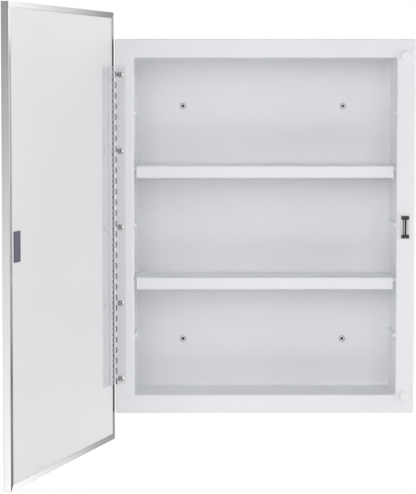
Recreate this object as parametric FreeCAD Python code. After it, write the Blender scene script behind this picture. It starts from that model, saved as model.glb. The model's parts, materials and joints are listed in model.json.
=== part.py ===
import FreeCAD, Part
import math
import os

# A recessed steel medicine cabinet with a mirrored door, in millimetres.
# +Z is up, +X is to the right and the front faces -Y. The origin is the centre of the four wall
# screw holes, on the rear face of the back wall. The door is modelled standing open.

# ---------------------------------------------------------------- driving dimensions
# Cabinet body, one drawn and folded piece of painted sheet steel
SHEET = 0.9
OPENING_WIDTH = 345.0
OPENING_HEIGHT = 444.0
BODY_DEPTH = 99.0               # rear face of the back wall to the front face of the flange
FLANGE_WIDTH = 24.2
FLANGE_RETURN = 10.0            # how far the rim of the flange turns back to the wall
FLANGE_CORNER_RADIUS = 2.6
FLANGE_EDGE_RADIUS = 1.0
TRAY_CORNER_RADIUS = 4.0
TRAY_REAR_RADIUS = 3.4
OPENING_EDGE_RADIUS = 2.0       # outside of the bend between flange and box

# Four coined screw holes in the back wall
SCREW_SPACING_X = 216.5
SCREW_SPACING_Z = 316.5
SCREW_HOLE_RADIUS = 2.0
SCREW_SINK_RADIUS = 4.3
SCREW_SINK_DEPTH = 0.75

# Ridges pressed into both side walls, which carry the shelves
RIDGE_PITCH = 73.55
RIDGE_COUNT = 5
RIDGE_MIDDLE_TOP = 5.8          # height of the top of the middle ridge
RIDGE_REACH = 3.2               # how far a ridge stands out of the wall
RIDGE_HEIGHT = 5.6
RIDGE_ROUNDING = 1.6
RIDGE_END_GAP = 8.0             # from the flange face, and from the back wall, to a ridge's end

# Shelves, with a down-turned lip at the front and a shorter one at the rear
SHELF_HALF_WIDTH = 171.7
SHELF_LIP_HALF_WIDTH = 168.9
SHELF_LIP_HEIGHT = 15.5
SHELF_REAR_LIP_HEIGHT = 10.0
SHELF_SETBACK = 5.0             # flange face to shelf front
SHELF_REAR_GAP = 1.5
SHELF_BEND_RADIUS = 1.5
SHELF_WING_SETBACK = 3.0
SHELF_LEVELS = {"upper_shelf": 1, "lower_shelf": -1}    # ridges above the middle one

# Piano hinge
HINGE_LENGTH = 418.0
HINGE_RISE = 1.6                # middle of the hinge above the middle of the flange
KNUCKLE_COUNT = 60
KNUCKLE_GAP = 0.2
KNUCKLE_RADIUS = 2.1
LEAF_THICKNESS = 0.8
PIN_CLEARANCE = 0.05
HINGE_AXIS_X = -197.8
CABINET_LEAF_REACH = 14.4       # from the axis to the leaf's free edge
DOOR_LEAF_REACH = 44.0
DOOR_LEAF_STEP = 18.0           # from the axis to the joggle
DOOR_LEAF_STEP_RUN = 1.5
LEAF_NOTCH_GAP = 0.4            # round the other leaf's knuckles

# Rivets of both leaves
RIVET_SPACING = 100.0
RIVET_COUNT = 5
RIVET_SHANK_RADIUS = 1.75
RIVET_HOLE_RADIUS = 1.85
RIVET_TAIL_RADIUS = 3.2
RIVET_TAIL_HEIGHT = 1.0
CABINET_RIVET_X = -189.9
CABINET_RIVET_HEAD_RADIUS = 4.0
CABINET_RIVET_HEAD_HEIGHT = 2.0
DOOR_RIVET_REACH = 36.0         # from the axis
DOOR_RIVET_HEAD_RADIUS = 4.0
DOOR_RIVET_HEAD_HEIGHT = 0.5

# Door: a mitred channel frame round a stack of back panel, filler board and mirror
DOOR_WIDTH = 410.0
DOOR_HEIGHT = 562.0
DOOR_GAP = 4.6                  # flange face to the door's rear face, when shut
DOOR_OPEN_DEG = 105.0
CHANNEL_SHEET = 0.6
CHANNEL_LIP = 7.6
CHANNEL_EDGE_RADIUS = 0.5
MITRE_GAP = 0.1
STACK_EDGE_GAP = 1.2            # between the channel's web and the edge of the stack
PANEL_THICKNESS = 1.0
FILLER_THICKNESS = 4.2
MIRROR_THICKNESS = 3.0
KEY_THICKNESS = 1.1
KEY_LEG = 32.0
KEY_SIDE_GAP = 0.2
TAIL_POCKET_RADIUS = 3.8
TAIL_POCKET_DEPTH = 1.4

# Magnetic catch, its strike plate and the two bumpers
CATCH_X = 184.0
CATCH_WIDTH = 12.4
CATCH_HEIGHT = 32.0
CATCH_BEZEL_DEPTH = 3.0
CATCH_REAR_WIDTH = 8.4
CATCH_REAR_HEIGHT = 24.0
CATCH_REAR_DEPTH = 8.0
CATCH_CORNER_RADIUS = 1.0
CATCH_FIT_GAP = 0.1
CATCH_CORE_OFFSET = 0.4         # the core sits right of the housing's middle
CATCH_PROUD = 3.9               # flange face to the pole faces
CATCH_HOOK_REACH = 0.8
CATCH_HOOK_DEPTH = 2.0
INSERT_END_WIDTH = 10.4         # of the cradle's two end blocks
INSERT_END_HEIGHT = 5.0
INSERT_HEIGHT = 29.6
INSERT_WAIST_LEFT = 3.7         # from the core's middle to the side of the waist
INSERT_WAIST_RIGHT = 2.6
INSERT_DEPTH = 8.0
POLE_THICKNESS = 1.3
POLE_HEIGHT = 18.8
POLE_DEPTH = 7.0
MAGNET_THICKNESS = 2.2
MAGNET_DEPTH = 6.0
STRIKE_WIDTH = 21.0
STRIKE_HEIGHT = 36.0
STRIKE_THICKNESS = 1.2
STRIKE_EDGE_DISTANCE = 25.0     # door's free edge to the strike's middle
STRIKE_CORNER_RADIUS = 1.0
BUMPER_X = 183.7
BUMPER_Z = 224.6
BUMPER_RADIUS = 6.3
BUMPER_HEIGHT = 5.1
BUMPER_ROUNDING = 1.6
BUMPER_STEM_RADIUS = 1.8
BUMPER_STEM_HOLE_RADIUS = 1.9
BUMPER_BARB_RADIUS = 2.8
BUMPER_BARB_DEPTH = 2.2

# ---------------------------------------------------------------- derived places
FLANGE_Y = -BODY_DEPTH
HINGE_AXIS_Y = FLANGE_Y - KNUCKLE_RADIUS
DOOR_REAR_Y = FLANGE_Y - DOOR_GAP
PANEL_Y = DOOR_REAR_Y - CHANNEL_SHEET
FILLER_Y = PANEL_Y - PANEL_THICKNESS
MIRROR_Y = FILLER_Y - FILLER_THICKNESS
DOOR_FRONT_Y = MIRROR_Y - MIRROR_THICKNESS - CHANNEL_SHEET
WALL_X = OPENING_WIDTH / 2
KNUCKLE_PITCH = HINGE_LENGTH / KNUCKLE_COUNT
HINGE_BOTTOM = HINGE_RISE - HINGE_LENGTH / 2
HINGE_TOP = HINGE_RISE + HINGE_LENGTH / 2
CORE_X = CATCH_X + CATCH_CORE_OFFSET
BEZEL_FRONT = FLANGE_Y - CATCH_BEZEL_DEPTH
TOUCH = 0.01                    # smallest length that tells two places apart

os.makedirs("parts", exist_ok=True)


# ---------------------------------------------------------------- shared helpers
def block(x_from, x_to, y_from, y_to, z_from, z_to):
    """A box between two corners; y_from is the front."""
    corner = FreeCAD.Vector(x_from, y_from, z_from)
    return Part.makeBox(x_to - x_from, y_to - y_from, z_to - z_from, corner)


def edges_along(shape, axis):
    """The straight edges of a box-like shape that run along x, y or z."""
    found = []
    for edge in shape.Edges:
        direction = edge.tangentAt(edge.FirstParameter)
        if abs(getattr(direction, axis)) > 1 - TOUCH:
            found.append(edge)
    return found


def edges_at_depth(shape, depth):
    """The edges that lie wholly in the plane y = depth."""
    found = []
    for edge in shape.Edges:
        reach = edge.BoundBox
        if abs(reach.YMin - depth) < TOUCH and abs(reach.YMax - depth) < TOUCH:
            found.append(edge)
    return found


def slab(width, height, corner_radius, y_front, y_rear, centre_x=0.0, centre_z=0.0):
    """A plate facing the front, with rounded corners."""
    plate = block(centre_x - width / 2, centre_x + width / 2, y_front, y_rear,
                  centre_z - height / 2, centre_z + height / 2)
    return plate.makeFillet(corner_radius, edges_along(plate, "y"))


def round_bar(radius, y_front, y_rear, x, z):
    """A cylinder that runs front to back."""
    return Part.makeCylinder(radius, y_rear - y_front, FreeCAD.Vector(x, y_front, z),
                             FreeCAD.Vector(0, 1, 0))


def prism(outline, z_from, z_to):
    """A plan outline, a list of (x, y), raised between two heights."""
    points = [FreeCAD.Vector(x, y, z_from) for x, y in outline]
    face = Part.Face(Part.makePolygon(points + points[:1]))
    return face.extrude(FreeCAD.Vector(0, 0, z_to - z_from))


def swing_open(shape):
    """Turns a piece of the shut door about the hinge axis to where the open door stands."""
    opened = shape.copy()
    opened.rotate(FreeCAD.Vector(HINGE_AXIS_X, HINGE_AXIS_Y, 0), FreeCAD.Vector(0, 0, 1),
                  -DOOR_OPEN_DEG)
    return opened


def save(shape, node):
    shape.exportStep(f"parts/{node}.step")


def rivet_heights():
    middle = (RIVET_COUNT - 1) / 2
    return [(number - middle) * RIVET_SPACING for number in range(RIVET_COUNT)]


# ---------------------------------------------------------------- cabinet body
def ridge_pad(side, top, inset, rounding):
    """A pill-shaped boss on a side wall; inset shrinks it to the hollow behind the sheet."""
    reach = RIDGE_REACH - inset
    wall_side = WALL_X + SHEET + inset
    pad = block(WALL_X - reach, wall_side,
                FLANGE_Y + RIDGE_END_GAP + inset, -SHEET - RIDGE_END_GAP - inset,
                top - RIDGE_HEIGHT + inset, top - inset)
    free_edges = [edge for edge in pad.Edges if edge.BoundBox.XMin < wall_side - TOUCH]
    pad = pad.makeFillet(rounding, free_edges)
    if side < 0:
        pad = pad.mirror(FreeCAD.Vector(0, 0, 0), FreeCAD.Vector(1, 0, 0))
    return pad


def ridge_top(level):
    """Height of the top of the ridge this many levels above the middle one."""
    return RIDGE_MIDDLE_TOP + level * RIDGE_PITCH


def screw_places():
    return [(side * SCREW_SPACING_X / 2, end * SCREW_SPACING_Z / 2)
            for side in (-1, 1) for end in (-1, 1)]


def edges_round_box(body, depth, outset):
    """The loop of edges at one depth that lies this far outside the faces of the opening."""
    return [edge for edge in edges_at_depth(body, depth)
            if abs(edge.CenterOfMass.x) < WALL_X + outset + TOUCH
            and abs(edge.CenterOfMass.z) < OPENING_HEIGHT / 2 + outset + TOUCH]


def cabinet_body():
    outer_width = OPENING_WIDTH + 2 * FLANGE_WIDTH
    outer_height = OPENING_HEIGHT + 2 * FLANGE_WIDTH
    rim_rear = FLANGE_Y + FLANGE_RETURN

    rim = slab(outer_width, outer_height, FLANGE_CORNER_RADIUS, FLANGE_Y, rim_rear)
    rim = rim.makeFillet(FLANGE_EDGE_RADIUS, edges_at_depth(rim, FLANGE_Y))
    behind_flange = slab(outer_width - 2 * SHEET, outer_height - 2 * SHEET,
                         FLANGE_CORNER_RADIUS - SHEET, FLANGE_Y + SHEET, rim_rear)
    rim = rim.cut(behind_flange)

    tray = slab(OPENING_WIDTH + 2 * SHEET, OPENING_HEIGHT + 2 * SHEET, TRAY_CORNER_RADIUS,
                FLANGE_Y, 0)
    tray = tray.makeFillet(TRAY_REAR_RADIUS, edges_at_depth(tray, 0))
    inside = slab(OPENING_WIDTH, OPENING_HEIGHT, TRAY_CORNER_RADIUS - SHEET, FLANGE_Y, -SHEET)
    inside = inside.makeFillet(TRAY_REAR_RADIUS - SHEET, edges_at_depth(inside, -SHEET))
    body = rim.fuse(tray).cut(inside).removeSplitter()
    inner_radius = OPENING_EDGE_RADIUS - SHEET
    bend_inside = edges_round_box(body, FLANGE_Y + SHEET, SHEET)
    body = body.makeFillet(inner_radius, bend_inside)
    body = body.makeFillet(OPENING_EDGE_RADIUS, edges_round_box(body, FLANGE_Y, 0.0))

    keep_inside = block(-WALL_X - SHEET / 2, WALL_X + SHEET / 2, FLANGE_Y, 0,
                        -OPENING_HEIGHT / 2, OPENING_HEIGHT / 2)
    lowest = -(RIDGE_COUNT - 1) // 2
    for level in range(lowest, lowest + RIDGE_COUNT):
        for side in (-1, 1):
            ridge = ridge_pad(side, ridge_top(level), 0.0, RIDGE_ROUNDING)
            body = body.fuse(ridge.common(keep_inside))
            body = body.cut(ridge_pad(side, ridge_top(level), SHEET, RIDGE_ROUNDING - SHEET))

    for x, z in screw_places():
        body = body.cut(round_bar(SCREW_HOLE_RADIUS, -2 * SHEET, SHEET, x, z))
        sink = Part.makeCone(SCREW_SINK_RADIUS, SCREW_HOLE_RADIUS, SCREW_SINK_DEPTH,
                             FreeCAD.Vector(x, -SHEET, z), FreeCAD.Vector(0, 1, 0))
        body = body.cut(sink)
    for z in rivet_heights():
        body = body.cut(round_bar(RIVET_HOLE_RADIUS, FLANGE_Y - SHEET, FLANGE_Y + 2 * SHEET,
                                  CABINET_RIVET_X, z))
    for end in (-1, 1):
        body = body.cut(round_bar(BUMPER_STEM_HOLE_RADIUS, FLANGE_Y - SHEET,
                                  FLANGE_Y + 2 * SHEET, BUMPER_X, end * BUMPER_Z))
    catch_window = slab(CATCH_REAR_WIDTH + 2 * CATCH_FIT_GAP,
                        CATCH_REAR_HEIGHT + 2 * CATCH_FIT_GAP, CATCH_CORNER_RADIUS,
                        FLANGE_Y - SHEET, FLANGE_Y + 2 * SHEET, CATCH_X)
    return body.cut(catch_window).removeSplitter()


# ---------------------------------------------------------------- shelves
def shelf(underside):
    """A plate on two ridges, between a front lip and a rear lip that clear the ridges."""
    front = FLANGE_Y + SHELF_SETBACK
    rear = -SHEET - SHELF_REAR_GAP
    top = underside + SHEET
    channel = block(-SHELF_LIP_HALF_WIDTH, SHELF_LIP_HALF_WIDTH, front, rear,
                    top - SHELF_LIP_HEIGHT, top)
    bends = [edge for edge in edges_along(channel, "x") if edge.CenterOfMass.z > top - TOUCH]
    channel = channel.makeFillet(SHELF_BEND_RADIUS, bends)
    hollow = block(-SHELF_LIP_HALF_WIDTH, SHELF_LIP_HALF_WIDTH, front + SHEET, rear - SHEET,
                   top - SHELF_LIP_HEIGHT, underside)
    bends = [edge for edge in edges_along(hollow, "x")
             if edge.CenterOfMass.z > underside - TOUCH]
    channel = channel.cut(hollow.makeFillet(SHELF_BEND_RADIUS - SHEET, bends))
    below_rear_lip = block(-SHELF_LIP_HALF_WIDTH, SHELF_LIP_HALF_WIDTH, rear - 2 * SHEET, rear,
                           top - SHELF_LIP_HEIGHT, top - SHELF_REAR_LIP_HEIGHT)
    channel = channel.cut(below_rear_lip)
    wings = block(-SHELF_HALF_WIDTH, SHELF_HALF_WIDTH, front + SHELF_WING_SETBACK,
                  rear - SHELF_WING_SETBACK, underside, top)
    wings = wings.makeChamfer(SHELF_HALF_WIDTH - SHELF_LIP_HALF_WIDTH - TOUCH,
                              edges_along(wings, "z"))
    return channel.fuse(wings).removeSplitter()


# ---------------------------------------------------------------- hinge
def knuckle_spans(first):
    """The bottom and top of every second knuckle of the barrel, counted from the lowest."""
    spans = []
    for number in range(first, KNUCKLE_COUNT, 2):
        start = HINGE_BOTTOM + number * KNUCKLE_PITCH + KNUCKLE_GAP / 2
        spans.append((start, start + KNUCKLE_PITCH - KNUCKLE_GAP))
    return spans


def add_knuckles(leaf, first, tab_front, tab_rear):
    """Joins every second knuckle to a leaf by a tab, and bores the barrel for the pin."""
    notch_x = HINGE_AXIS_X + KNUCKLE_RADIUS + LEAF_NOTCH_GAP
    for start, end in knuckle_spans(first):
        axis_foot = FreeCAD.Vector(HINGE_AXIS_X, HINGE_AXIS_Y, start)
        barrel = Part.makeCylinder(KNUCKLE_RADIUS, end - start, axis_foot)
        tab = block(HINGE_AXIS_X, notch_x, tab_front, tab_rear, start, end)
        leaf = leaf.fuse(barrel.fuse(tab))
    bore = Part.makeCylinder(KNUCKLE_RADIUS - LEAF_THICKNESS, HINGE_LENGTH,
                             FreeCAD.Vector(HINGE_AXIS_X, HINGE_AXIS_Y, HINGE_BOTTOM))
    return leaf.cut(bore).removeSplitter()


def hinge_leaf_cabinet():
    """Lies flat on the flange."""
    near = HINGE_AXIS_X + KNUCKLE_RADIUS + LEAF_NOTCH_GAP
    front = FLANGE_Y - LEAF_THICKNESS
    leaf = block(near, HINGE_AXIS_X + CABINET_LEAF_REACH, front, FLANGE_Y,
                 HINGE_BOTTOM, HINGE_TOP)
    leaf = add_knuckles(leaf, 0, front, FLANGE_Y)
    for z in rivet_heights():
        leaf = leaf.cut(round_bar(RIVET_HOLE_RADIUS, front, FLANGE_Y, CABINET_RIVET_X, z))
    return leaf


def hinge_leaf_door():
    """Runs level with the barrel, then steps down onto the door's back panel."""
    near = HINGE_AXIS_X + KNUCKLE_RADIUS + LEAF_NOTCH_GAP
    step = HINGE_AXIS_X + DOOR_LEAF_STEP
    step_end = step + DOOR_LEAF_STEP_RUN
    far = HINGE_AXIS_X + DOOR_LEAF_REACH
    raised_front = HINGE_AXIS_Y - KNUCKLE_RADIUS
    raised_rear = raised_front + LEAF_THICKNESS
    lowered_rear = PANEL_Y + LEAF_THICKNESS
    outline = [(near, raised_front), (step, raised_front), (step_end, PANEL_Y), (far, PANEL_Y),
               (far, lowered_rear), (step_end, lowered_rear), (step, raised_rear),
               (near, raised_rear)]
    leaf = prism(outline, HINGE_BOTTOM, HINGE_TOP)
    leaf = add_knuckles(leaf, 1, raised_front, raised_rear)
    for z in rivet_heights():
        leaf = leaf.cut(round_bar(RIVET_HOLE_RADIUS, PANEL_Y, lowered_rear,
                                  HINGE_AXIS_X + DOOR_RIVET_REACH, z))
    return leaf


def hinge_pin():
    radius = KNUCKLE_RADIUS - LEAF_THICKNESS - PIN_CLEARANCE
    return Part.makeCylinder(radius, HINGE_LENGTH,
                             FreeCAD.Vector(HINGE_AXIS_X, HINGE_AXIS_Y, HINGE_BOTTOM))


def domed_head(radius, height):
    """A cap of a sphere on the plane z = 0."""
    ball = (radius ** 2 + height ** 2) / (2 * height)
    sphere = Part.makeSphere(ball, FreeCAD.Vector(0, 0, height - ball))
    return sphere.common(Part.makeCylinder(radius, height))


def flat_head(radius, height):
    """A thin disc on the plane z = 0, with its rim rounded."""
    disc = Part.makeCylinder(radius, height)
    rim = [edge for edge in disc.Edges if edge.BoundBox.ZMin > height - TOUCH]
    return disc.makeFillet(height / 2, rim)


def rivet_row(head, x, y_head, y_tail):
    """One rivet per height, with its head in front or behind and its tail on the other side."""
    towards_head = math.copysign(1, y_head - y_tail)
    solids = []
    for z in rivet_heights():
        shank = Part.makeCylinder(RIVET_SHANK_RADIUS, abs(y_head - y_tail),
                                  FreeCAD.Vector(0, 0, -abs(y_head - y_tail)))
        tail = Part.makeCylinder(RIVET_TAIL_RADIUS, RIVET_TAIL_HEIGHT,
                                 FreeCAD.Vector(0, 0, -abs(y_head - y_tail) - RIVET_TAIL_HEIGHT))
        rivet = head.fuse([shank, tail]).removeSplitter()
        turn = FreeCAD.Rotation(FreeCAD.Vector(0, 0, 1), FreeCAD.Vector(0, towards_head, 0))
        rivet.Placement = FreeCAD.Placement(FreeCAD.Vector(x, y_head, z), turn)
        solids.append(rivet)
    return Part.makeCompound(solids)


# ---------------------------------------------------------------- door
def frame_rails():
    """The four mitred lengths of channel, as a dictionary of node name to solid."""
    ring = block(-DOOR_WIDTH / 2, DOOR_WIDTH / 2, DOOR_FRONT_Y, DOOR_REAR_Y,
                 -DOOR_HEIGHT / 2, DOOR_HEIGHT / 2)
    ring = ring.makeFillet(CHANNEL_EDGE_RADIUS, ring.Edges)
    web = CHANNEL_SHEET
    channel_room = block(-DOOR_WIDTH / 2 + web, DOOR_WIDTH / 2 - web,
                         DOOR_FRONT_Y + web, DOOR_REAR_Y - web,
                         -DOOR_HEIGHT / 2 + web, DOOR_HEIGHT / 2 - web)
    window = block(-DOOR_WIDTH / 2 + CHANNEL_LIP, DOOR_WIDTH / 2 - CHANNEL_LIP,
                   DOOR_FRONT_Y, DOOR_REAR_Y,
                   -DOOR_HEIGHT / 2 + CHANNEL_LIP, DOOR_HEIGHT / 2 - CHANNEL_LIP)
    ring = ring.cut(channel_room).cut(window)

    half_width = DOOR_WIDTH / 2
    half_height = DOOR_HEIGHT / 2
    reach = 2 * CHANNEL_LIP
    cut_gap = MITRE_GAP / 2

    def wedge(corners):
        points = [FreeCAD.Vector(x, DOOR_FRONT_Y, z) for x, z in corners]
        face = Part.Face(Part.makePolygon(points + points[:1]))
        return face.extrude(FreeCAD.Vector(0, DOOR_REAR_Y - DOOR_FRONT_Y, 0))

    level = [(-half_width + cut_gap, half_height), (half_width - cut_gap, half_height),
             (half_width - reach - cut_gap, half_height - reach),
             (-half_width + reach + cut_gap, half_height - reach)]
    upright = [(half_width, half_height - cut_gap), (half_width, -half_height + cut_gap),
               (half_width - reach, -half_height + reach + cut_gap),
               (half_width - reach, half_height - reach - cut_gap)]
    wedges = {
        "frame_top_rail": level,
        "frame_bottom_rail": [(x, -z) for x, z in level],
        "frame_free_stile": upright,
        "frame_hinge_stile": [(-x, z) for x, z in upright],
    }
    return {node: ring.common(wedge(corners)) for node, corners in wedges.items()}


def corner_keys():
    """An L of strip steel inside each corner of the channel."""
    outer_x = DOOR_WIDTH / 2 - CHANNEL_SHEET
    outer_z = DOOR_HEIGHT / 2 - CHANNEL_SHEET
    front = DOOR_FRONT_Y + CHANNEL_SHEET + KEY_SIDE_GAP
    rear = DOOR_REAR_Y - CHANNEL_SHEET - KEY_SIDE_GAP
    whole = block(outer_x - KEY_LEG, outer_x, front, rear, outer_z - KEY_LEG, outer_z)
    inner = block(outer_x - KEY_LEG, outer_x - KEY_THICKNESS, front, rear,
                  outer_z - KEY_LEG, outer_z - KEY_THICKNESS)
    key = whole.cut(inner)
    sideways = FreeCAD.Vector(1, 0, 0)
    upwards = FreeCAD.Vector(0, 0, 1)
    centre = FreeCAD.Vector(0, 0, 0)
    hinge_side_key = key.mirror(centre, sideways)
    return {
        "corner_key_top_free": key,
        "corner_key_bottom_free": key.mirror(centre, upwards),
        "corner_key_top_hinge": hinge_side_key,
        "corner_key_bottom_hinge": hinge_side_key.mirror(centre, upwards),
    }


def stack_sheet(y_front, y_rear):
    """A sheet that fills the frame from edge to edge of the channels."""
    inset = CHANNEL_SHEET + STACK_EDGE_GAP
    return block(-DOOR_WIDTH / 2 + inset, DOOR_WIDTH / 2 - inset, y_front, y_rear,
                 -DOOR_HEIGHT / 2 + inset, DOOR_HEIGHT / 2 - inset)


def door_back_panel():
    panel = stack_sheet(FILLER_Y, PANEL_Y)
    for z in rivet_heights():
        panel = panel.cut(round_bar(RIVET_HOLE_RADIUS, FILLER_Y, PANEL_Y,
                                    HINGE_AXIS_X + DOOR_RIVET_REACH, z))
    return panel


def filler_board():
    board = stack_sheet(MIRROR_Y, FILLER_Y)
    for z in rivet_heights():
        board = board.cut(round_bar(TAIL_POCKET_RADIUS, FILLER_Y - TAIL_POCKET_DEPTH, FILLER_Y,
                                    HINGE_AXIS_X + DOOR_RIVET_REACH, z))
    return board


def strike_plate():
    plate = slab(STRIKE_WIDTH, STRIKE_HEIGHT, STRIKE_CORNER_RADIUS, PANEL_Y,
                 PANEL_Y + STRIKE_THICKNESS, DOOR_WIDTH / 2 - STRIKE_EDGE_DISTANCE)
    return plate.makeFillet(STRIKE_THICKNESS / 4,
                            edges_at_depth(plate, PANEL_Y + STRIKE_THICKNESS))


# ---------------------------------------------------------------- catch and bumpers
def cradle_room(y_front):
    """The I-shaped room in the bezel from this depth back, with the throat behind the flange."""
    waist_left = CORE_X - INSERT_WAIST_LEFT
    waist_right = CORE_X + INSERT_WAIST_RIGHT
    room = block(waist_left, waist_right, y_front, FLANGE_Y,
                 -INSERT_HEIGHT / 2 + SHEET, INSERT_HEIGHT / 2 - SHEET)
    for end in (-1, 1):
        middle = end * (INSERT_HEIGHT - INSERT_END_HEIGHT) / 2
        room = room.fuse(slab(INSERT_END_WIDTH, INSERT_END_HEIGHT, CATCH_CORNER_RADIUS / 2,
                              y_front, FLANGE_Y, CATCH_X, middle))
    throat = block(waist_left, waist_right, FLANGE_Y, BEZEL_FRONT + INSERT_DEPTH,
                   -POLE_HEIGHT / 2 - SHEET, POLE_HEIGHT / 2 + SHEET)
    return room.fuse(throat)


def catch_housing():
    """A bezel on the flange and a box behind it, with a hook above and below."""
    bezel = slab(CATCH_WIDTH, CATCH_HEIGHT, CATCH_CORNER_RADIUS, BEZEL_FRONT, FLANGE_Y, CATCH_X)
    bezel = bezel.makeFillet(CATCH_CORNER_RADIUS / 2, edges_at_depth(bezel, BEZEL_FRONT))
    box_rear = FLANGE_Y + CATCH_REAR_DEPTH
    box = slab(CATCH_REAR_WIDTH, CATCH_REAR_HEIGHT, CATCH_CORNER_RADIUS, FLANGE_Y, box_rear,
               CATCH_X)
    hook_front = FLANGE_Y + SHEET
    hook_root = CATCH_REAR_HEIGHT / 2
    hook_tip = hook_root + CATCH_HOOK_REACH
    housing = bezel.fuse(box)
    for end in (-1, 1):
        corners = [(hook_root - SHEET, hook_front), (hook_tip, hook_front),
                   (hook_root, hook_front + CATCH_HOOK_DEPTH),
                   (hook_root - SHEET, hook_front + CATCH_HOOK_DEPTH)]
        half = CATCH_REAR_WIDTH / 4
        points = [FreeCAD.Vector(CATCH_X - half, y, end * z) for z, y in corners]
        face = Part.Face(Part.makePolygon(points + points[:1]))
        housing = housing.fuse(face.extrude(FreeCAD.Vector(2 * half, 0, 0)))
    return housing.cut(cradle_room(BEZEL_FRONT)).removeSplitter()


def catch_insert():
    """The dark cradle that holds the magnet between its pole plates."""
    cradle_front = BEZEL_FRONT + CATCH_FIT_GAP
    core_half = MAGNET_THICKNESS / 2 + POLE_THICKNESS
    core_room = block(CORE_X - core_half, CORE_X + core_half, cradle_front,
                      FLANGE_Y - CATCH_PROUD + POLE_DEPTH, -POLE_HEIGHT / 2, POLE_HEIGHT / 2)
    return cradle_room(cradle_front).cut(core_room).removeSplitter()


def catch_pole_plate(side):
    inner = CORE_X + side * MAGNET_THICKNESS / 2
    outer = inner + side * POLE_THICKNESS
    front = FLANGE_Y - CATCH_PROUD
    plate = block(min(inner, outer), max(inner, outer), front, front + POLE_DEPTH,
                  -POLE_HEIGHT / 2, POLE_HEIGHT / 2)
    return plate.makeFillet(POLE_THICKNESS / 4, edges_at_depth(plate, front))


def catch_magnet():
    rear = FLANGE_Y - CATCH_PROUD + POLE_DEPTH
    return block(CORE_X - MAGNET_THICKNESS / 2, CORE_X + MAGNET_THICKNESS / 2,
                 rear - MAGNET_DEPTH, rear, -POLE_HEIGHT / 2, POLE_HEIGHT / 2)


def bumper(z):
    """A soft button on the flange, with a stem and a barb behind the sheet."""
    front = FLANGE_Y - BUMPER_HEIGHT
    button = round_bar(BUMPER_RADIUS, front, FLANGE_Y, BUMPER_X, z)
    button = button.makeFillet(BUMPER_ROUNDING, edges_at_depth(button, front))
    stem = round_bar(BUMPER_STEM_RADIUS, FLANGE_Y, FLANGE_Y + SHEET, BUMPER_X, z)
    barb = Part.makeCone(BUMPER_BARB_RADIUS, BUMPER_STEM_RADIUS / 2, BUMPER_BARB_DEPTH,
                         FreeCAD.Vector(BUMPER_X, FLANGE_Y + SHEET, z),
                         FreeCAD.Vector(0, 1, 0))
    return button.fuse([stem, barb]).removeSplitter()


# ---------------------------------------------------------------- write every node
save(cabinet_body(), "cabinet_body")
for shelf_node, shelf_level in SHELF_LEVELS.items():
    save(shelf(ridge_top(shelf_level)), shelf_node)

save(hinge_leaf_cabinet(), "hinge_leaf_cabinet")
save(hinge_pin(), "hinge_pin")
save(rivet_row(domed_head(CABINET_RIVET_HEAD_RADIUS, CABINET_RIVET_HEAD_HEIGHT),
               CABINET_RIVET_X, FLANGE_Y - LEAF_THICKNESS, FLANGE_Y + SHEET),
     "hinge_rivets_cabinet")
save(catch_housing(), "catch_housing")
save(catch_insert(), "catch_insert")
save(catch_magnet(), "catch_magnet")
save(catch_pole_plate(-1), "catch_pole_plate_left")
save(catch_pole_plate(1), "catch_pole_plate_right")
save(bumper(BUMPER_Z), "bumper_upper")
save(bumper(-BUMPER_Z), "bumper_lower")

door_pieces = {
    "hinge_leaf_door": hinge_leaf_door(),
    "hinge_rivets_door": rivet_row(flat_head(DOOR_RIVET_HEAD_RADIUS, DOOR_RIVET_HEAD_HEIGHT),
                                   HINGE_AXIS_X + DOOR_RIVET_REACH, PANEL_Y + LEAF_THICKNESS,
                                   FILLER_Y),
    "door_back_panel": door_back_panel(),
    "filler_board": filler_board(),
    "mirror_glass": stack_sheet(MIRROR_Y - MIRROR_THICKNESS, MIRROR_Y),
    "strike_plate": strike_plate(),
}
door_pieces.update(frame_rails())
door_pieces.update(corner_keys())
for door_node, door_piece in door_pieces.items():
    save(swing_open(door_piece), door_node)
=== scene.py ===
import bmesh
import bpy
import json
import math
from mathutils import Matrix, Vector


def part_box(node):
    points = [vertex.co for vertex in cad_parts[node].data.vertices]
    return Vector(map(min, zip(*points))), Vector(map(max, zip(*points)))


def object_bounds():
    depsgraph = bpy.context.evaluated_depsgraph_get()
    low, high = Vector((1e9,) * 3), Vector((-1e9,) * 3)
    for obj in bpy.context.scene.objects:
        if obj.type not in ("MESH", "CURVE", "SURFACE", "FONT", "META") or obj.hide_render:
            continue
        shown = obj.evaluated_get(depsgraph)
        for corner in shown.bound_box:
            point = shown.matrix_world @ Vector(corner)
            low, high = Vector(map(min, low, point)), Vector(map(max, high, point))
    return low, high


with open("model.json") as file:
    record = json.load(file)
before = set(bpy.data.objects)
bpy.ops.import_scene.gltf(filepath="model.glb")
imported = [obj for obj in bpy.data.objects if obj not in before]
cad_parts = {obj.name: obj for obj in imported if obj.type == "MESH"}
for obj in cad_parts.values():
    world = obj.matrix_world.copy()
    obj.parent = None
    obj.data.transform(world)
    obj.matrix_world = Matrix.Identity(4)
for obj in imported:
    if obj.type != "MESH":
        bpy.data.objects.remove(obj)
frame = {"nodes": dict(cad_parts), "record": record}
cad_low, cad_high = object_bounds()
nodes = frame["nodes"]


# ---------------------------------------------------------------- places taken from the frame
def record_row(rows, name):
    """The row with this name in one of the record's lists."""
    return next(row for row in rows if row["name"] == name)


door_joint = record_row(frame["record"]["behaviour"]["joints"], "door_hinge")
HINGE_AXIS = Vector(door_joint["pos_m"])
OPEN_ANGLE = -math.radians(door_joint["range_deg"][0])      # from shut to the rest pose
HINGE_LOW, HINGE_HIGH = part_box("hinge_pin")
BODY_LOW, BODY_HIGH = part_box("cabinet_body")
BODY_MIDDLE = (BODY_LOW + BODY_HIGH) / 2

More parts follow.
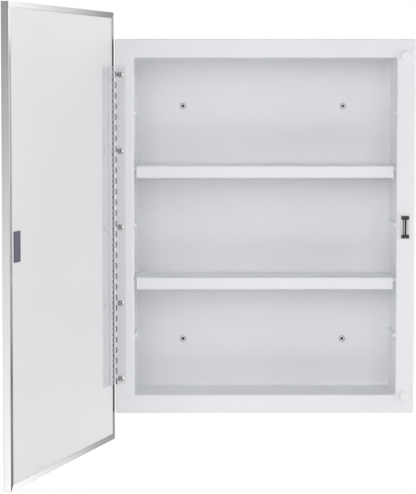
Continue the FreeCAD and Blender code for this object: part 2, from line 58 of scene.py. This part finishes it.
shut_turn = Matrix.Rotation(OPEN_ANGLE, 3, "Z")
stile_points = [shut_turn @ (vertex.co - HINGE_AXIS)
                for vertex in nodes["frame_free_stile"].data.vertices]
DOOR_REACH = max(point.x for point in stile_points)         # hinge axis to the free edge
DOOR_REAR = max(point.y for point in stile_points)          # hinge axis to the rear face, shut
DOOR_HALF_HEIGHT = max(point.z for point in stile_points)
DOOR_MIDDLE = -HINGE_AXIS.x                                 # hinge axis to the door's middle
DOOR_HALF_WIDTH = DOOR_REACH - DOOR_MIDDLE

screw_pattern = record_row(frame["record"]["mounts"], "wall_screws")["dims"]
SCREW_SPACING_X = screw_pattern["spacing_x_mm"] / 1000
SCREW_SPACING_Z = screw_pattern["spacing_y_mm"] / 1000

# ---------------------------------------------------------------- camera and stage, in metres
CAMERA_PLACE = Vector((-0.1007, -3.0563, 0.1816))
CAMERA_YAW = math.radians(-0.496)
CAMERA_PITCH = math.radians(-4.018)
CAMERA_LENS = 164.27            # in millimetres, as the sensor's width is
CAMERA_SENSOR = 36.0
FLOOR_DROP = 0.75               # below the door's bottom edge
FLOOR_HALF = 2.6
FLOOR_GLOW_MIDDLE = 0.25        # emission strength under the cabinet
FLOOR_GLOW_RIM = 1.0
FLOOR_GLOW_START = 0.4          # share of the floor's half width where the glow begins to rise
FLOOR_GLOW_END = 0.9

# Place, size and watts of each light, and whether reflections show it.
LIGHTS = {
    "front_light": ((0.2, -3.3, 1.0), 2.2, 27.5, False),
    "left_light": ((-1.4, -3.0, 0.5), 1.2, 22.5, False),
    "upper_light": ((0.9, -2.2, 2.3), 1.6, 4.0, False),
    "right_light": ((2.7, -0.9, 0.3), 1.8, 34.0, True),
    "rear_light_left": ((-2.0, 2.4, 1.3), 1.8, 30.0, False),
    "rear_light_right": ((2.2, 2.2, 1.0), 1.8, 24.0, False),
}

# The studio that reflections show: grey levels from straight down (0) to straight up (1), and
# places in it by a direction of length 1, with x to the right and y to the back.
STUDIO_STRENGTH = 1.4
STUDIO_IN_FRONT = ((0.0, 0.7), (0.35, 1.0), (0.415, 1.05), (0.475, 0.74), (0.52, 0.37),
                   (0.575, 0.37), (0.75, 0.75), (1.0, 0.85))
STUDIO_BEHIND = ((0.0, 0.4), (0.35, 0.6), (0.42, 0.88), (0.475, 0.8), (0.52, 0.88), (1.0, 0.65))
STUDIO_DARK_PANEL = ((0.0, 0.5), (0.33, 0.34), (0.5, 0.06), (0.7, 0.2), (1.0, 0.6))
BACKDROP_BLEND = 0.3            # the front gives way to the backdrop from minus this y to this y
DARK_PANEL_MIDDLE = 0.42        # its middle's slope to the right, as x over distance in front
DARK_PANEL_FULL = 0.38          # half its width, as a slope, and the same with its soft edge
DARK_PANEL_EDGE = 0.56
DARK_PANEL_DEPTH = (-0.3, -0.1)  # the y where it is full, and where it has faded out
LEFT_SIDE = (-0.97, -0.62)      # the x where the studio is dimmest, and where that ends
LEFT_SIDE_LEVEL = 0.45
DRIFT_SCALE = 2.6               # slow unevenness of the studio
DRIFT_LOW = 0.6
DRIFT_HIGH = 1.2
EVEN_LIGHT = 0.12

# ---------------------------------------------------------------- screw holes, in metres
# painted shade ring round each coined screw seat: its radius, width and strength
SCREW_SHADE_RING_RADIUS = 0.0037
SCREW_SHADE_RING_WIDTH = 0.0008       # on each side of the ring's line
SCREW_SHADE_RING_STRENGTH = 0.9
# dark discs of painted shade behind the screw holes
HOLE_SHADE_RADIUS = 0.0026
HOLE_SHADE_DEPTH = 0.0004           # behind the back wall

# ---------------------------------------------------------------- hinge, in metres
KNUCKLE_COUNT = 60
KNUCKLE_PITCH = (HINGE_HIGH.z - HINGE_LOW.z) / KNUCKLE_COUNT
KNUCKLE_RADIUS = 0.0021
SEAM_SHARE = 0.08               # of the knuckle pitch, on each side of a seam
SEAM_SHADE_STRENGTH = 0.45            # density of the painted shade in a seam
PAINTED_SHADE_REACH = 0.0011            # painted shade reaches this far on each side of the barrel's edge
BREAK_FULL = 0.06               # of the knuckle pitch: the break in a line at each seam, to
BREAK_EDGE = 0.3                # each side of it, and the same with its soft edge
SECOND_MIDDLE = 0.25            # along a pair of knuckles, the middle of the first of them
SECOND_FULL = 0.21              # to each side of that middle, and the same with its soft edge
SECOND_EDGE = 0.3
PAINTED_SHADE_LIGHTER = 0.55     # density of the left painted shade line beside every second knuckle
PAINTED_SHADE_DARKER = 0.75      # and beside the others
PAINTED_SHADE_FULL = 0.7                # density at which painted shade covers the plate most
PAINTED_SHADE_STRONGEST = 0.95          # share of the plate's colour that it covers there
LEAF_BEND = 0.01875             # hinge axis to the middle of the door leaf's joggle
BEND_FULL = 0.00098             # painted shade to each side of it, and the same with its soft edge
BEND_EDGE = 0.0014
BEND_PAINTED_SHADE = 0.5                # painted shade along the bend, as a share of the plate's colour

# ---------------------------------------------------------------- door frame, in metres
# the rear lip's tone is painted reflection and shade
LIP_TONE_START = 0.0005         # from the rear face to where the rear lip's own tone starts,
LIP_TONE_FULL = 0.0001          # and to where it is full
ROLLED_LINE = 0.0064            # from the door's edge to the painted shade line along each lip's roll
ROLLED_REACH = 0.0006
ROLLED_SHADE_STRENGTH = 0.35

# The way each rail runs, its painted reflection as grey levels from its hinge end or bottom end (0)
# to its other end (1), and what its rear lip's grey levels are multiplied by, in the same way, as
# painted reflection and shade.
RAIL_PAINTED_REFLECTIONS = {
    "frame_top_rail": ("width", ((0.0, 0.85), (1.0, 0.95)),
                       ((0.0, 0.12), (0.15, 0.3), (0.4, 0.6), (1.0, 1.1))),
    "frame_bottom_rail": ("width", ((0.0, 0.85), (1.0, 0.95)),
                          ((0.0, 0.15), (0.2, 0.32), (0.45, 0.65), (1.0, 1.1))),
    "frame_free_stile": ("height", ((0.0, 0.9), (0.5, 0.85), (1.0, 0.75)),
                         ((0.0, 0.04), (0.15, 0.14), (0.4, 0.65), (1.0, 1.3))),
    "frame_hinge_stile": ("height", ((0.0, 0.85), (1.0, 0.85)),
                          ((0.05, 0.13), (0.08, 0.1), (0.92, 0.1), (0.95, 0.4))),
}


# ---------------------------------------------------------------- node tree helpers
MIX_COLOUR_INPUTS = (0, 6, 7)   # a Mix node's factor and its two colours
MIX_COLOUR_OUTPUT = 2


def new_tree(name):
    """A material with an empty node tree."""
    material = bpy.data.materials.new(name)
    material.use_nodes = True
    material.node_tree.nodes.clear()
    return material, material.node_tree


def set_input(tree, socket, value):
    """Links another node's output to an input, or sets the input to a number or colour."""
    if isinstance(value, bpy.types.NodeSocket):
        tree.links.new(value, socket)
    else:
        socket.default_value = value


def add(tree, kind, inputs=None, **settings):
    """A new node with its inputs and settings."""
    node = tree.nodes.new(kind)
    for key, value in settings.items():
        setattr(node, key, value)
    for key, value in (inputs or {}).items():
        set_input(tree, node.inputs[key], value)
    return node


def rgb(red, green, blue):
    return (red, green, blue, 1.0)


def object_place(tree):
    return add(tree, "ShaderNodeTexCoord").outputs["Object"]


def door_place(tree):
    """Coordinates of the shut door: x from hinge axis to free edge, y through it, z up."""
    mapping = add(tree, "ShaderNodeMapping", {
        "Vector": object_place(tree),
        "Location": HINGE_AXIS,
        "Rotation": (0, 0, -OPEN_ANGLE),
    }, vector_type="TEXTURE")
    return mapping.outputs["Vector"]


def hinge_place(tree):
    """Coordinates from the hinge axis, square to the cabinet."""
    mapping = add(tree, "ShaderNodeMapping", {
        "Vector": object_place(tree),
        "Location": HINGE_AXIS,
    }, vector_type="TEXTURE")
    return mapping.outputs["Vector"]


def stretched(tree, place, scale):
    return add(tree, "ShaderNodeMapping", {"Vector": place, "Scale": scale}).outputs["Vector"]


def axes_of(tree, place):
    return add(tree, "ShaderNodeSeparateXYZ", {"Vector": place}).outputs


def noise(tree, place, scale, detail=2.0):
    node = add(tree, "ShaderNodeTexNoise", {"Vector": place, "Scale": scale, "Detail": detail})
    return node.outputs["Fac"]


def between(tree, value, low, high, from_low=0.3, from_high=0.7):
    """Maps a value from one range to another and stops at its ends. The range that it comes
    from is a noise pattern's usual one, unless given."""
    node = add(tree, "ShaderNodeMapRange", {
        "Value": value,
        "From Min": from_low,
        "From Max": from_high,
        "To Min": low,
        "To Max": high,
    })
    return node.outputs["Result"]


def arithmetic(tree, operation, first, second=0.0):
    return add(tree, "ShaderNodeMath", {0: first, 1: second}, operation=operation).outputs["Value"]


def distance_from(tree, value, centre):
    return arithmetic(tree, "ABSOLUTE", arithmetic(tree, "SUBTRACT", value, centre))


def near_value(tree, value, centre, edge, full=0.0):
    """1 within the full distance of the centre, falling to 0 at the edge distance."""
    return between(tree, distance_from(tree, value, centre), 1.0, 0.0, full, edge)


def ramp(tree, value, stops):
    """Grey levels at stops along a value from 0 to 1."""
    node = add(tree, "ShaderNodeValToRGB", {"Fac": value})
    elements = node.color_ramp.elements
    while len(elements) < len(stops):
        elements.new(1.0)
    for element, (place, level) in zip(elements, stops):
        element.position = place
        element.color = rgb(level, level, level)
    return node.outputs["Color"]


def mix_colour(tree, factor, first, second, blend="MIX"):
    node = add(tree, "ShaderNodeMix", data_type="RGBA", blend_type=blend)
    for index, value in zip(MIX_COLOUR_INPUTS, (factor, first, second)):
        set_input(tree, node.inputs[index], value)
    return node.outputs[MIX_COLOUR_OUTPUT]


def multiplied(tree, first, second):
    return mix_colour(tree, 1.0, first, second, "MULTIPLY")


def grey(tree, level):
    node = add(tree, "ShaderNodeCombineColor", {"Red": level, "Green": level, "Blue": level})
    return node.outputs["Color"]


def clouded(tree, pattern, colour, darkest):
    """A colour that a noise pattern darkens, at most to this share of itself."""
    shade = rgb(*(darkest * channel for channel in colour))
    return mix_colour(tree, between(tree, pattern, 0.0, 1.0), shade, rgb(*colour))


def uneven(tree, pattern, middle, reach):
    """A value that a noise pattern moves up and down by this much."""
    return between(tree, pattern, middle - reach, middle + reach)


def bump(tree, height, strength, distance):
    node = add(tree, "ShaderNodeBump",
               {"Height": height, "Strength": strength, "Distance": distance})
    return node.outputs["Normal"]


def finish_tree(tree, inputs):
    """The shader with these inputs, and the output that it feeds."""
    shader = add(tree, "ShaderNodeBsdfPrincipled", inputs)
    add(tree, "ShaderNodeOutputMaterial", {"Surface": shader.outputs["BSDF"]})


# ---------------------------------------------------------------- materials
def seat_shade_rings(tree, place, base):
    """A thin painted shade ring round each coined screw seat."""
    axes = axes_of(tree, place)
    squares = []
    for axis, spacing in (("X", SCREW_SPACING_X), ("Z", SCREW_SPACING_Z)):
        offset = arithmetic(tree, "SUBTRACT", arithmetic(tree, "ABSOLUTE", axes[axis]), spacing / 2)
        squares.append(arithmetic(tree, "POWER", offset, 2.0))
    radius = arithmetic(tree, "SQRT", arithmetic(tree, "ADD", *squares))
    ring = near_value(tree, radius, SCREW_SHADE_RING_RADIUS, SCREW_SHADE_RING_WIDTH)
    strength = arithmetic(tree, "MULTIPLY", ring, SCREW_SHADE_RING_STRENGTH)
    # darkened to the painted shade ring's colour
    return mix_colour(tree, strength, base, rgb(0.12, 0.12, 0.13))


def enamel(name, colour, roughness, peel_scale, peel_depth, marks=None):
    """Baked enamel on sheet steel: faint mottling, and the peel of a sprayed coat."""
    material, tree = new_tree(name)
    place = object_place(tree)
    base = clouded(tree, noise(tree, place, scale=7.0), colour, darkest=0.985)
    # marks paint shade onto the enamel, such as the rings round the screw seats
    if marks:
        base = marks(tree, place, base)
    peel = noise(tree, place, peel_scale, detail=3.0)
    finish_tree(tree, {
        "Base Color": base,
        "Roughness": uneven(tree, noise(tree, place, scale=40.0), roughness, reach=0.04),
        "Normal": bump(tree, peel, strength=0.35, distance=peel_depth),
        "Specular IOR Level": 0.3,
        "Coat Weight": 0.05,
        "Coat Roughness": 0.3,
    })
    return material


def rail_measures(tree, axes, along):
    """The place along a rail, from 0 to 1, and the distance in from the door's edge."""
    if along == "height":
        position = between(tree, axes["Z"], 0.0, 1.0, -DOOR_HALF_HEIGHT, DOOR_HALF_HEIGHT)
        inward = arithmetic(tree, "SUBTRACT", DOOR_HALF_WIDTH,
                            distance_from(tree, axes["X"], DOOR_MIDDLE))
    else:
        position = between(tree, axes["X"], 0.0, 1.0, 0.0, DOOR_REACH)
        inward = arithmetic(tree, "SUBTRACT", DOOR_HALF_HEIGHT, distance_from(tree, axes["Z"], 0.0))
    return position, inward


def bright_steel(name, along, stops, lip_reflection_stops):
    """Rolled stainless channel: fine draw lines along its length, a painted reflection that changes
    slowly along it, and a painted shade line along each lip's roll. The rear lip, hidden while the
    door is shut, has a painted reflection and shade of its own."""
    material, tree = new_tree(name)
    place = door_place(tree)
    axes = axes_of(tree, place)
    position, inward = rail_measures(tree, axes, along)
    line_scale = (900.0, 900.0, 6.0) if along == "height" else (6.0, 900.0, 900.0)
    lines = noise(tree, stretched(tree, place, line_scale), scale=1.0, detail=4.0)

    on_rear_lip = between(tree, axes["Y"], 0.0, 1.0,
                          DOOR_REAR - LIP_TONE_START, DOOR_REAR - LIP_TONE_FULL)
    # painted reflection and shade on the rear lip
    lip_painted_tone = mix_colour(tree, on_rear_lip, rgb(1.0, 1.0, 1.0), ramp(tree, position, lip_reflection_stops))
    # painted reflection along the rail
    tone = multiplied(tree, ramp(tree, position, stops), lip_painted_tone)
    # painted shade line along each lip's roll
    rolled = arithmetic(tree, "MULTIPLY", near_value(tree, inward, ROLLED_LINE, ROLLED_REACH),
                        ROLLED_SHADE_STRENGTH)
    tone = mix_colour(tree, rolled, tone, rgb(0.1, 0.1, 0.1))
    steel = multiplied(tree, tone, rgb(0.80, 0.80, 0.79))
    finish_tree(tree, {
        "Base Color": multiplied(tree, steel, grey(tree, between(tree, lines, 0.94, 1.0))),
        "Metallic": 1.0,
        "Roughness": between(tree, lines, 0.11, 0.22),
        "Normal": bump(tree, lines, strength=0.12, distance=0.00005),
    })
    return material


def plated_steel(name, colour, metallic, roughness, grain_scale=380.0, grain_depth=0.00003):
    """Plated or coated pressed steel with a fine satin grain."""
    material, tree = new_tree(name)
    place = object_place(tree)
    grain = noise(tree, place, grain_scale, detail=4.0)
    finish_tree(tree, {
        "Base Color": clouded(tree, noise(tree, place, scale=22.0), colour, darkest=0.93),
        "Metallic": metallic,
        "Roughness": uneven(tree, grain, roughness, reach=0.06),
        "Normal": bump(tree, grain, strength=0.2, distance=grain_depth),
    })
    return material


def hinge_painted_shade(tree, axes):
    """Painted shade in the seams between the knuckles and in broken lines along both sides of the
    barrel, from 0 to 1."""
    knuckle = arithmetic(tree, "DIVIDE", arithmetic(tree, "SUBTRACT", axes["Z"], HINGE_LOW.z),
                         KNUCKLE_PITCH)
    along_knuckle = arithmetic(tree, "FRACT", knuckle)
    along_pair = arithmetic(tree, "FRACT", arithmetic(tree, "DIVIDE", knuckle, 2.0))
    every_second = near_value(tree, along_pair, SECOND_MIDDLE, SECOND_EDGE, SECOND_FULL)

    def near_seam(edge, full=0.0):
        return arithmetic(tree, "MAXIMUM", near_value(tree, along_knuckle, 0.0, edge, full),
                          near_value(tree, along_knuckle, 1.0, edge, full))

    on_barrel = between(tree, arithmetic(tree, "ABSOLUTE", axes["X"]), SEAM_SHADE_STRENGTH, 0.0,
                        KNUCKLE_RADIUS, KNUCKLE_RADIUS + PAINTED_SHADE_REACH)
    seams = arithmetic(tree, "MULTIPLY", near_seam(SEAM_SHARE), on_barrel)

    left_side = near_value(tree, axes["X"], -KNUCKLE_RADIUS, PAINTED_SHADE_REACH)
    unbroken = arithmetic(tree, "SUBTRACT", 1.0, near_seam(BREAK_EDGE, BREAK_FULL))
    strength = between(tree, every_second, PAINTED_SHADE_DARKER, PAINTED_SHADE_LIGHTER, 0.0, 1.0)
    left_line = arithmetic(tree, "MULTIPLY", arithmetic(tree, "MULTIPLY", left_side, unbroken),
                           strength)

    right_side = near_value(tree, axes["X"], KNUCKLE_RADIUS, PAINTED_SHADE_REACH)
    right_line = arithmetic(tree, "MULTIPLY", right_side, every_second)

    densest = arithmetic(tree, "MAXIMUM", seams, arithmetic(tree, "MAXIMUM", left_line, right_line))
    return between(tree, densest, 0.0, PAINTED_SHADE_STRONGEST, 0.0, PAINTED_SHADE_FULL)


def hinge_steel(name, colour, bend=None):
    """Satin plate with painted shade round the barrel. A bend has painted shade along its line,
    which is this far from the axis on the door."""
    material, tree = new_tree(name)
    place = hinge_place(tree)
    grain = noise(tree, place, scale=380.0, detail=4.0)
    plate = clouded(tree, noise(tree, place, scale=22.0), colour, darkest=0.96)
    if bend:
        reach = axes_of(tree, door_place(tree))["X"]
        # painted shade along the joggle's sloped face
        bend_shade_mask = near_value(tree, reach, bend, BEND_EDGE, BEND_FULL)
        plate = mix_colour(tree, bend_shade_mask, plate, rgb(*(BEND_PAINTED_SHADE * channel for channel in colour)))
    finish_tree(tree, {
        # the plate turns near black where the painted shade lies
        "Base Color": mix_colour(tree, hinge_painted_shade(tree, axes_of(tree, place)), plate,
                                 rgb(0.03, 0.03, 0.035)),
        "Metallic": 0.3,
        "Roughness": uneven(tree, grain, 0.42, reach=0.06),
        "Normal": bump(tree, grain, strength=0.2, distance=0.00003),
    })
    return material


def moulded(name, colour, roughness, grain_scale):
    """Moulded plastic or rubber with a fine eroded grain."""
    material, tree = new_tree(name)
    grain = noise(tree, object_place(tree), grain_scale, detail=3.0)
    finish_tree(tree, {
        "Base Color": clouded(tree, grain, colour, darkest=0.95),
        "Roughness": uneven(tree, grain, roughness, reach=0.05),
        "Normal": bump(tree, grain, strength=0.25, distance=0.00004),
    })
    return material


def silvered_glass():
    """The mirror: bright, with the faintest haze of wiping marks."""
    material, tree = new_tree("silvered_glass")
    haze = noise(tree, stretched(tree, door_place(tree), (9.0, 9.0, 3.0)), scale=1.0, detail=5.0)
    finish_tree(tree, {
        "Base Color": mix_colour(tree, between(tree, haze, 0.0, 1.0),
                                 rgb(0.86, 0.89, 0.885), rgb(0.90, 0.92, 0.915)),
        "Metallic": 1.0,
        "Roughness": between(tree, haze, 0.0, 0.03),
        "Coat Weight": 0.5,
        "Coat Roughness": 0.0,
    })
    return material


def fibreboard():
    """Pressed fibreboard, flecked."""
    material, tree = new_tree("fibreboard")
    flecks = noise(tree, object_place(tree), scale=500.0, detail=5.0)
    finish_tree(tree, {
        "Base Color": mix_colour(tree, between(tree, flecks, 0.0, 1.0),
                                 rgb(0.30, 0.22, 0.14), rgb(0.48, 0.38, 0.27)),
        "Roughness": 0.9,
        "Normal": bump(tree, flecks, strength=0.5, distance=0.0001),
    })
    return material


def paint_nodes(material, *names):
    for name in names:
        slots = nodes[name].data.materials
        slots.clear()
        slots.append(material)


ENAMEL_WHITE = (0.855, 0.863, 0.882)
paint_nodes(enamel("white_enamel", ENAMEL_WHITE, roughness=0.40, peel_scale=420.0,
                   peel_depth=0.00006, marks=seat_shade_rings),
            "cabinet_body")
paint_nodes(enamel("shelf_enamel", ENAMEL_WHITE, roughness=0.38, peel_scale=420.0,
                   peel_depth=0.00006),
            "upper_shelf", "lower_shelf")
paint_nodes(enamel("panel_enamel", (0.86, 0.86, 0.867), roughness=0.55, peel_scale=520.0,
                   peel_depth=0.00004),
            "door_back_panel")
paint_nodes(hinge_steel("hinge_plate_cabinet", (0.79, 0.78, 0.82)), "hinge_leaf_cabinet")
paint_nodes(hinge_steel("hinge_plate_door", (0.76, 0.755, 0.785), LEAF_BEND), "hinge_leaf_door")
paint_nodes(plated_steel("zinc_plate", (0.55, 0.55, 0.57), metallic=0.9, roughness=0.40),
            "hinge_pin", "corner_key_top_free", "corner_key_bottom_free",
            "corner_key_top_hinge", "corner_key_bottom_hinge")
paint_nodes(plated_steel("rivet_nickel", (0.47, 0.465, 0.44), metallic=1.0, roughness=0.12,
                         grain_scale=900.0, grain_depth=0.00001),
            "hinge_rivets_cabinet")
paint_nodes(plated_steel("rivet_satin", (0.70, 0.695, 0.71), metallic=0.3, roughness=0.40,
                         grain_scale=900.0, grain_depth=0.00001),
            "hinge_rivets_door")
paint_nodes(plated_steel("strike_coat", (0.105, 0.105, 0.155), metallic=0.25, roughness=0.42,
                         grain_scale=600.0),
            "strike_plate")
paint_nodes(plated_steel("pole_steel", (0.60, 0.60, 0.59), metallic=0.3, roughness=0.35),
            "catch_pole_plate_left", "catch_pole_plate_right")
paint_nodes(plated_steel("ferrite", (0.012, 0.012, 0.012), metallic=0.0, roughness=0.6,
                         grain_scale=900.0),
            "catch_magnet")
paint_nodes(moulded("catch_plastic", (0.74, 0.735, 0.72), roughness=0.45, grain_scale=900.0),
            "catch_housing")
paint_nodes(moulded("dark_plastic", (0.04, 0.04, 0.04), roughness=0.5, grain_scale=900.0),
            "catch_insert")
paint_nodes(moulded("bumper_vinyl", (0.90, 0.905, 0.915), roughness=0.30, grain_scale=300.0),
            "bumper_upper", "bumper_lower")
paint_nodes(silvered_glass(), "mirror_glass")
paint_nodes(fibreboard(), "filler_board")
for rail, (along, stops, lip_reflection_stops) in RAIL_PAINTED_REFLECTIONS.items():
    paint_nodes(bright_steel("steel_" + rail, along, stops, lip_reflection_stops), rail)


# ---------------------------------------------------------------- stage, light and camera
def pale_floor():
    """A plain white floor, well below the hung cabinet, that glows more towards its rim."""
    height = cad_low.z - FLOOR_DROP
    corners = [(x * FLOOR_HALF, y * FLOOR_HALF, height)
               for x, y in ((-1, -1), (1, -1), (1, 1), (-1, 1))]
    mesh = bpy.data.meshes.new("floor")
    mesh.from_pydata(corners, [], [(0, 1, 2, 3)])
    floor = bpy.data.objects.new("floor", mesh)
    bpy.context.collection.objects.link(floor)
    material, tree = new_tree("floor_white")
    place = object_place(tree)
    level = stretched(tree, place, (1.0, 1.0, 0.0))
    radius = add(tree, "ShaderNodeVectorMath", {0: level}, operation="LENGTH").outputs["Value"]
    finish_tree(tree, {
        "Base Color": mix_colour(tree, noise(tree, place, scale=3.0),
                                 rgb(0.66, 0.66, 0.66), rgb(0.68, 0.68, 0.68)),
        "Roughness": 0.9,
        "Emission Color": rgb(1.0, 1.0, 1.0),
        "Emission Strength": between(tree, radius, FLOOR_GLOW_MIDDLE, FLOOR_GLOW_RIM,
                                     FLOOR_GLOW_START * FLOOR_HALF, FLOOR_GLOW_END * FLOOR_HALF),
    })
    mesh.materials.append(material)
    floor.visible_glossy = False


def studio_room(tree):
    """The colours of the studio in each direction: a room in front of the cabinet with a dark
    panel, a pale backdrop behind it, and a dimmer left side."""
    direction = add(tree, "ShaderNodeTexCoord").outputs["Generated"]
    axes = axes_of(tree, direction)
    height = between(tree, axes["Z"], 0.0, 1.0, -1.0, 1.0)
    backdrop = between(tree, axes["Y"], 0.0, 1.0, -BACKDROP_BLEND, BACKDROP_BLEND)
    room = mix_colour(tree, backdrop, ramp(tree, height, STUDIO_IN_FRONT),
                      ramp(tree, height, STUDIO_BEHIND))

    slope = arithmetic(tree, "DIVIDE", axes["X"], arithmetic(tree, "ABSOLUTE", axes["Y"]))
    across_panel = near_value(tree, slope, DARK_PANEL_MIDDLE, DARK_PANEL_EDGE, DARK_PANEL_FULL)
    in_front = between(tree, axes["Y"], 1.0, 0.0, *DARK_PANEL_DEPTH)
    room = mix_colour(tree, arithmetic(tree, "MULTIPLY", across_panel, in_front), room,
                      ramp(tree, height, STUDIO_DARK_PANEL))

    left_side = between(tree, axes["X"], LEFT_SIDE_LEVEL, 1.0, *LEFT_SIDE)
    drift = between(tree, noise(tree, direction, DRIFT_SCALE, detail=0.0), DRIFT_LOW, DRIFT_HIGH)
    return multiplied(tree, room, grey(tree, arithmetic(tree, "MULTIPLY", left_side, drift)))


def studio_world():
    """White behind the object. Reflections show the studio, and everything else gets a low,
    even light."""
    world = bpy.data.worlds.new("studio")
    bpy.context.scene.world = world
    world.use_nodes = True
    tree = world.node_tree
    tree.nodes.clear()

    def background(colour, strength):
        node = add(tree, "ShaderNodeBackground", {"Color": colour, "Strength": strength})
        return node.outputs["Background"]

    def chosen(factor, otherwise, shader):
        node = add(tree, "ShaderNodeMixShader", {0: factor, 1: otherwise, 2: shader})
        return node.outputs["Shader"]

    rays = add(tree, "ShaderNodeLightPath").outputs
    lighting = chosen(rays["Is Glossy Ray"], background(rgb(0.97, 0.98, 1.0), EVEN_LIGHT),
                      background(studio_room(tree), STUDIO_STRENGTH))
    seen = chosen(rays["Is Camera Ray"], lighting, background(rgb(1.0, 1.0, 1.0), 1.0))
    add(tree, "ShaderNodeOutputWorld", {"Surface": seen})


def soft_box(name, place, size, watts, reflected):
    """A square area light aimed at the cabinet."""
    light = bpy.data.lights.new(name, "AREA")
    light.shape = "SQUARE"
    light.size = size
    light.energy = watts
    lamp = bpy.data.objects.new(name, light)
    lamp.location = place
    lamp.rotation_euler = (BODY_MIDDLE - Vector(place)).to_track_quat("-Z", "Y").to_euler()
    lamp.visible_glossy = reflected
    bpy.context.collection.objects.link(lamp)


def painted_shade_behind_holes():
    """Dark discs just behind each screw hole: painted shade for the dark seen through it."""
    material, tree = new_tree("hole_shade_disc")
    shade_mottle = noise(tree, object_place(tree), scale=600.0)
    finish_tree(tree, {
        "Base Color": mix_colour(tree, shade_mottle, rgb(0.02, 0.02, 0.02), rgb(0.05, 0.05, 0.048)),
        "Roughness": 0.9,
    })
    for x in (-SCREW_SPACING_X / 2, SCREW_SPACING_X / 2):
        for z in (-SCREW_SPACING_Z / 2, SCREW_SPACING_Z / 2):
            form = bmesh.new()
            place = (Matrix.Translation((x, BODY_HIGH.y + HOLE_SHADE_DEPTH, z))
                     @ Matrix.Rotation(math.pi / 2, 4, "X"))
            bmesh.ops.create_circle(form, cap_ends=True, radius=HOLE_SHADE_RADIUS, segments=32,
                                    matrix=place)
            mesh = bpy.data.meshes.new("hole_shade_disc")
            form.to_mesh(mesh)
            form.free()
            mesh.materials.append(material)
            patch = bpy.data.objects.new("hole_shade_disc", mesh)
            bpy.context.collection.objects.link(patch)


def aim_camera():
    """The view from in front, a little above the middle and left of it."""
    data = bpy.data.cameras.new("camera")
    data.lens = CAMERA_LENS
    data.sensor_width = CAMERA_SENSOR
    camera = bpy.data.objects.new("camera", data)
    camera.location = CAMERA_PLACE
    camera.rotation_euler = (math.pi / 2 + CAMERA_PITCH, 0, CAMERA_YAW)
    bpy.context.collection.objects.link(camera)
    bpy.context.scene.camera = camera


pale_floor()
studio_world()
painted_shade_behind_holes()
for name, (place, size, watts, reflected) in LIGHTS.items():
    soft_box(name, place, size, watts, reflected)
aim_camera()
bpy.context.scene.view_settings.view_transform = "Standard"
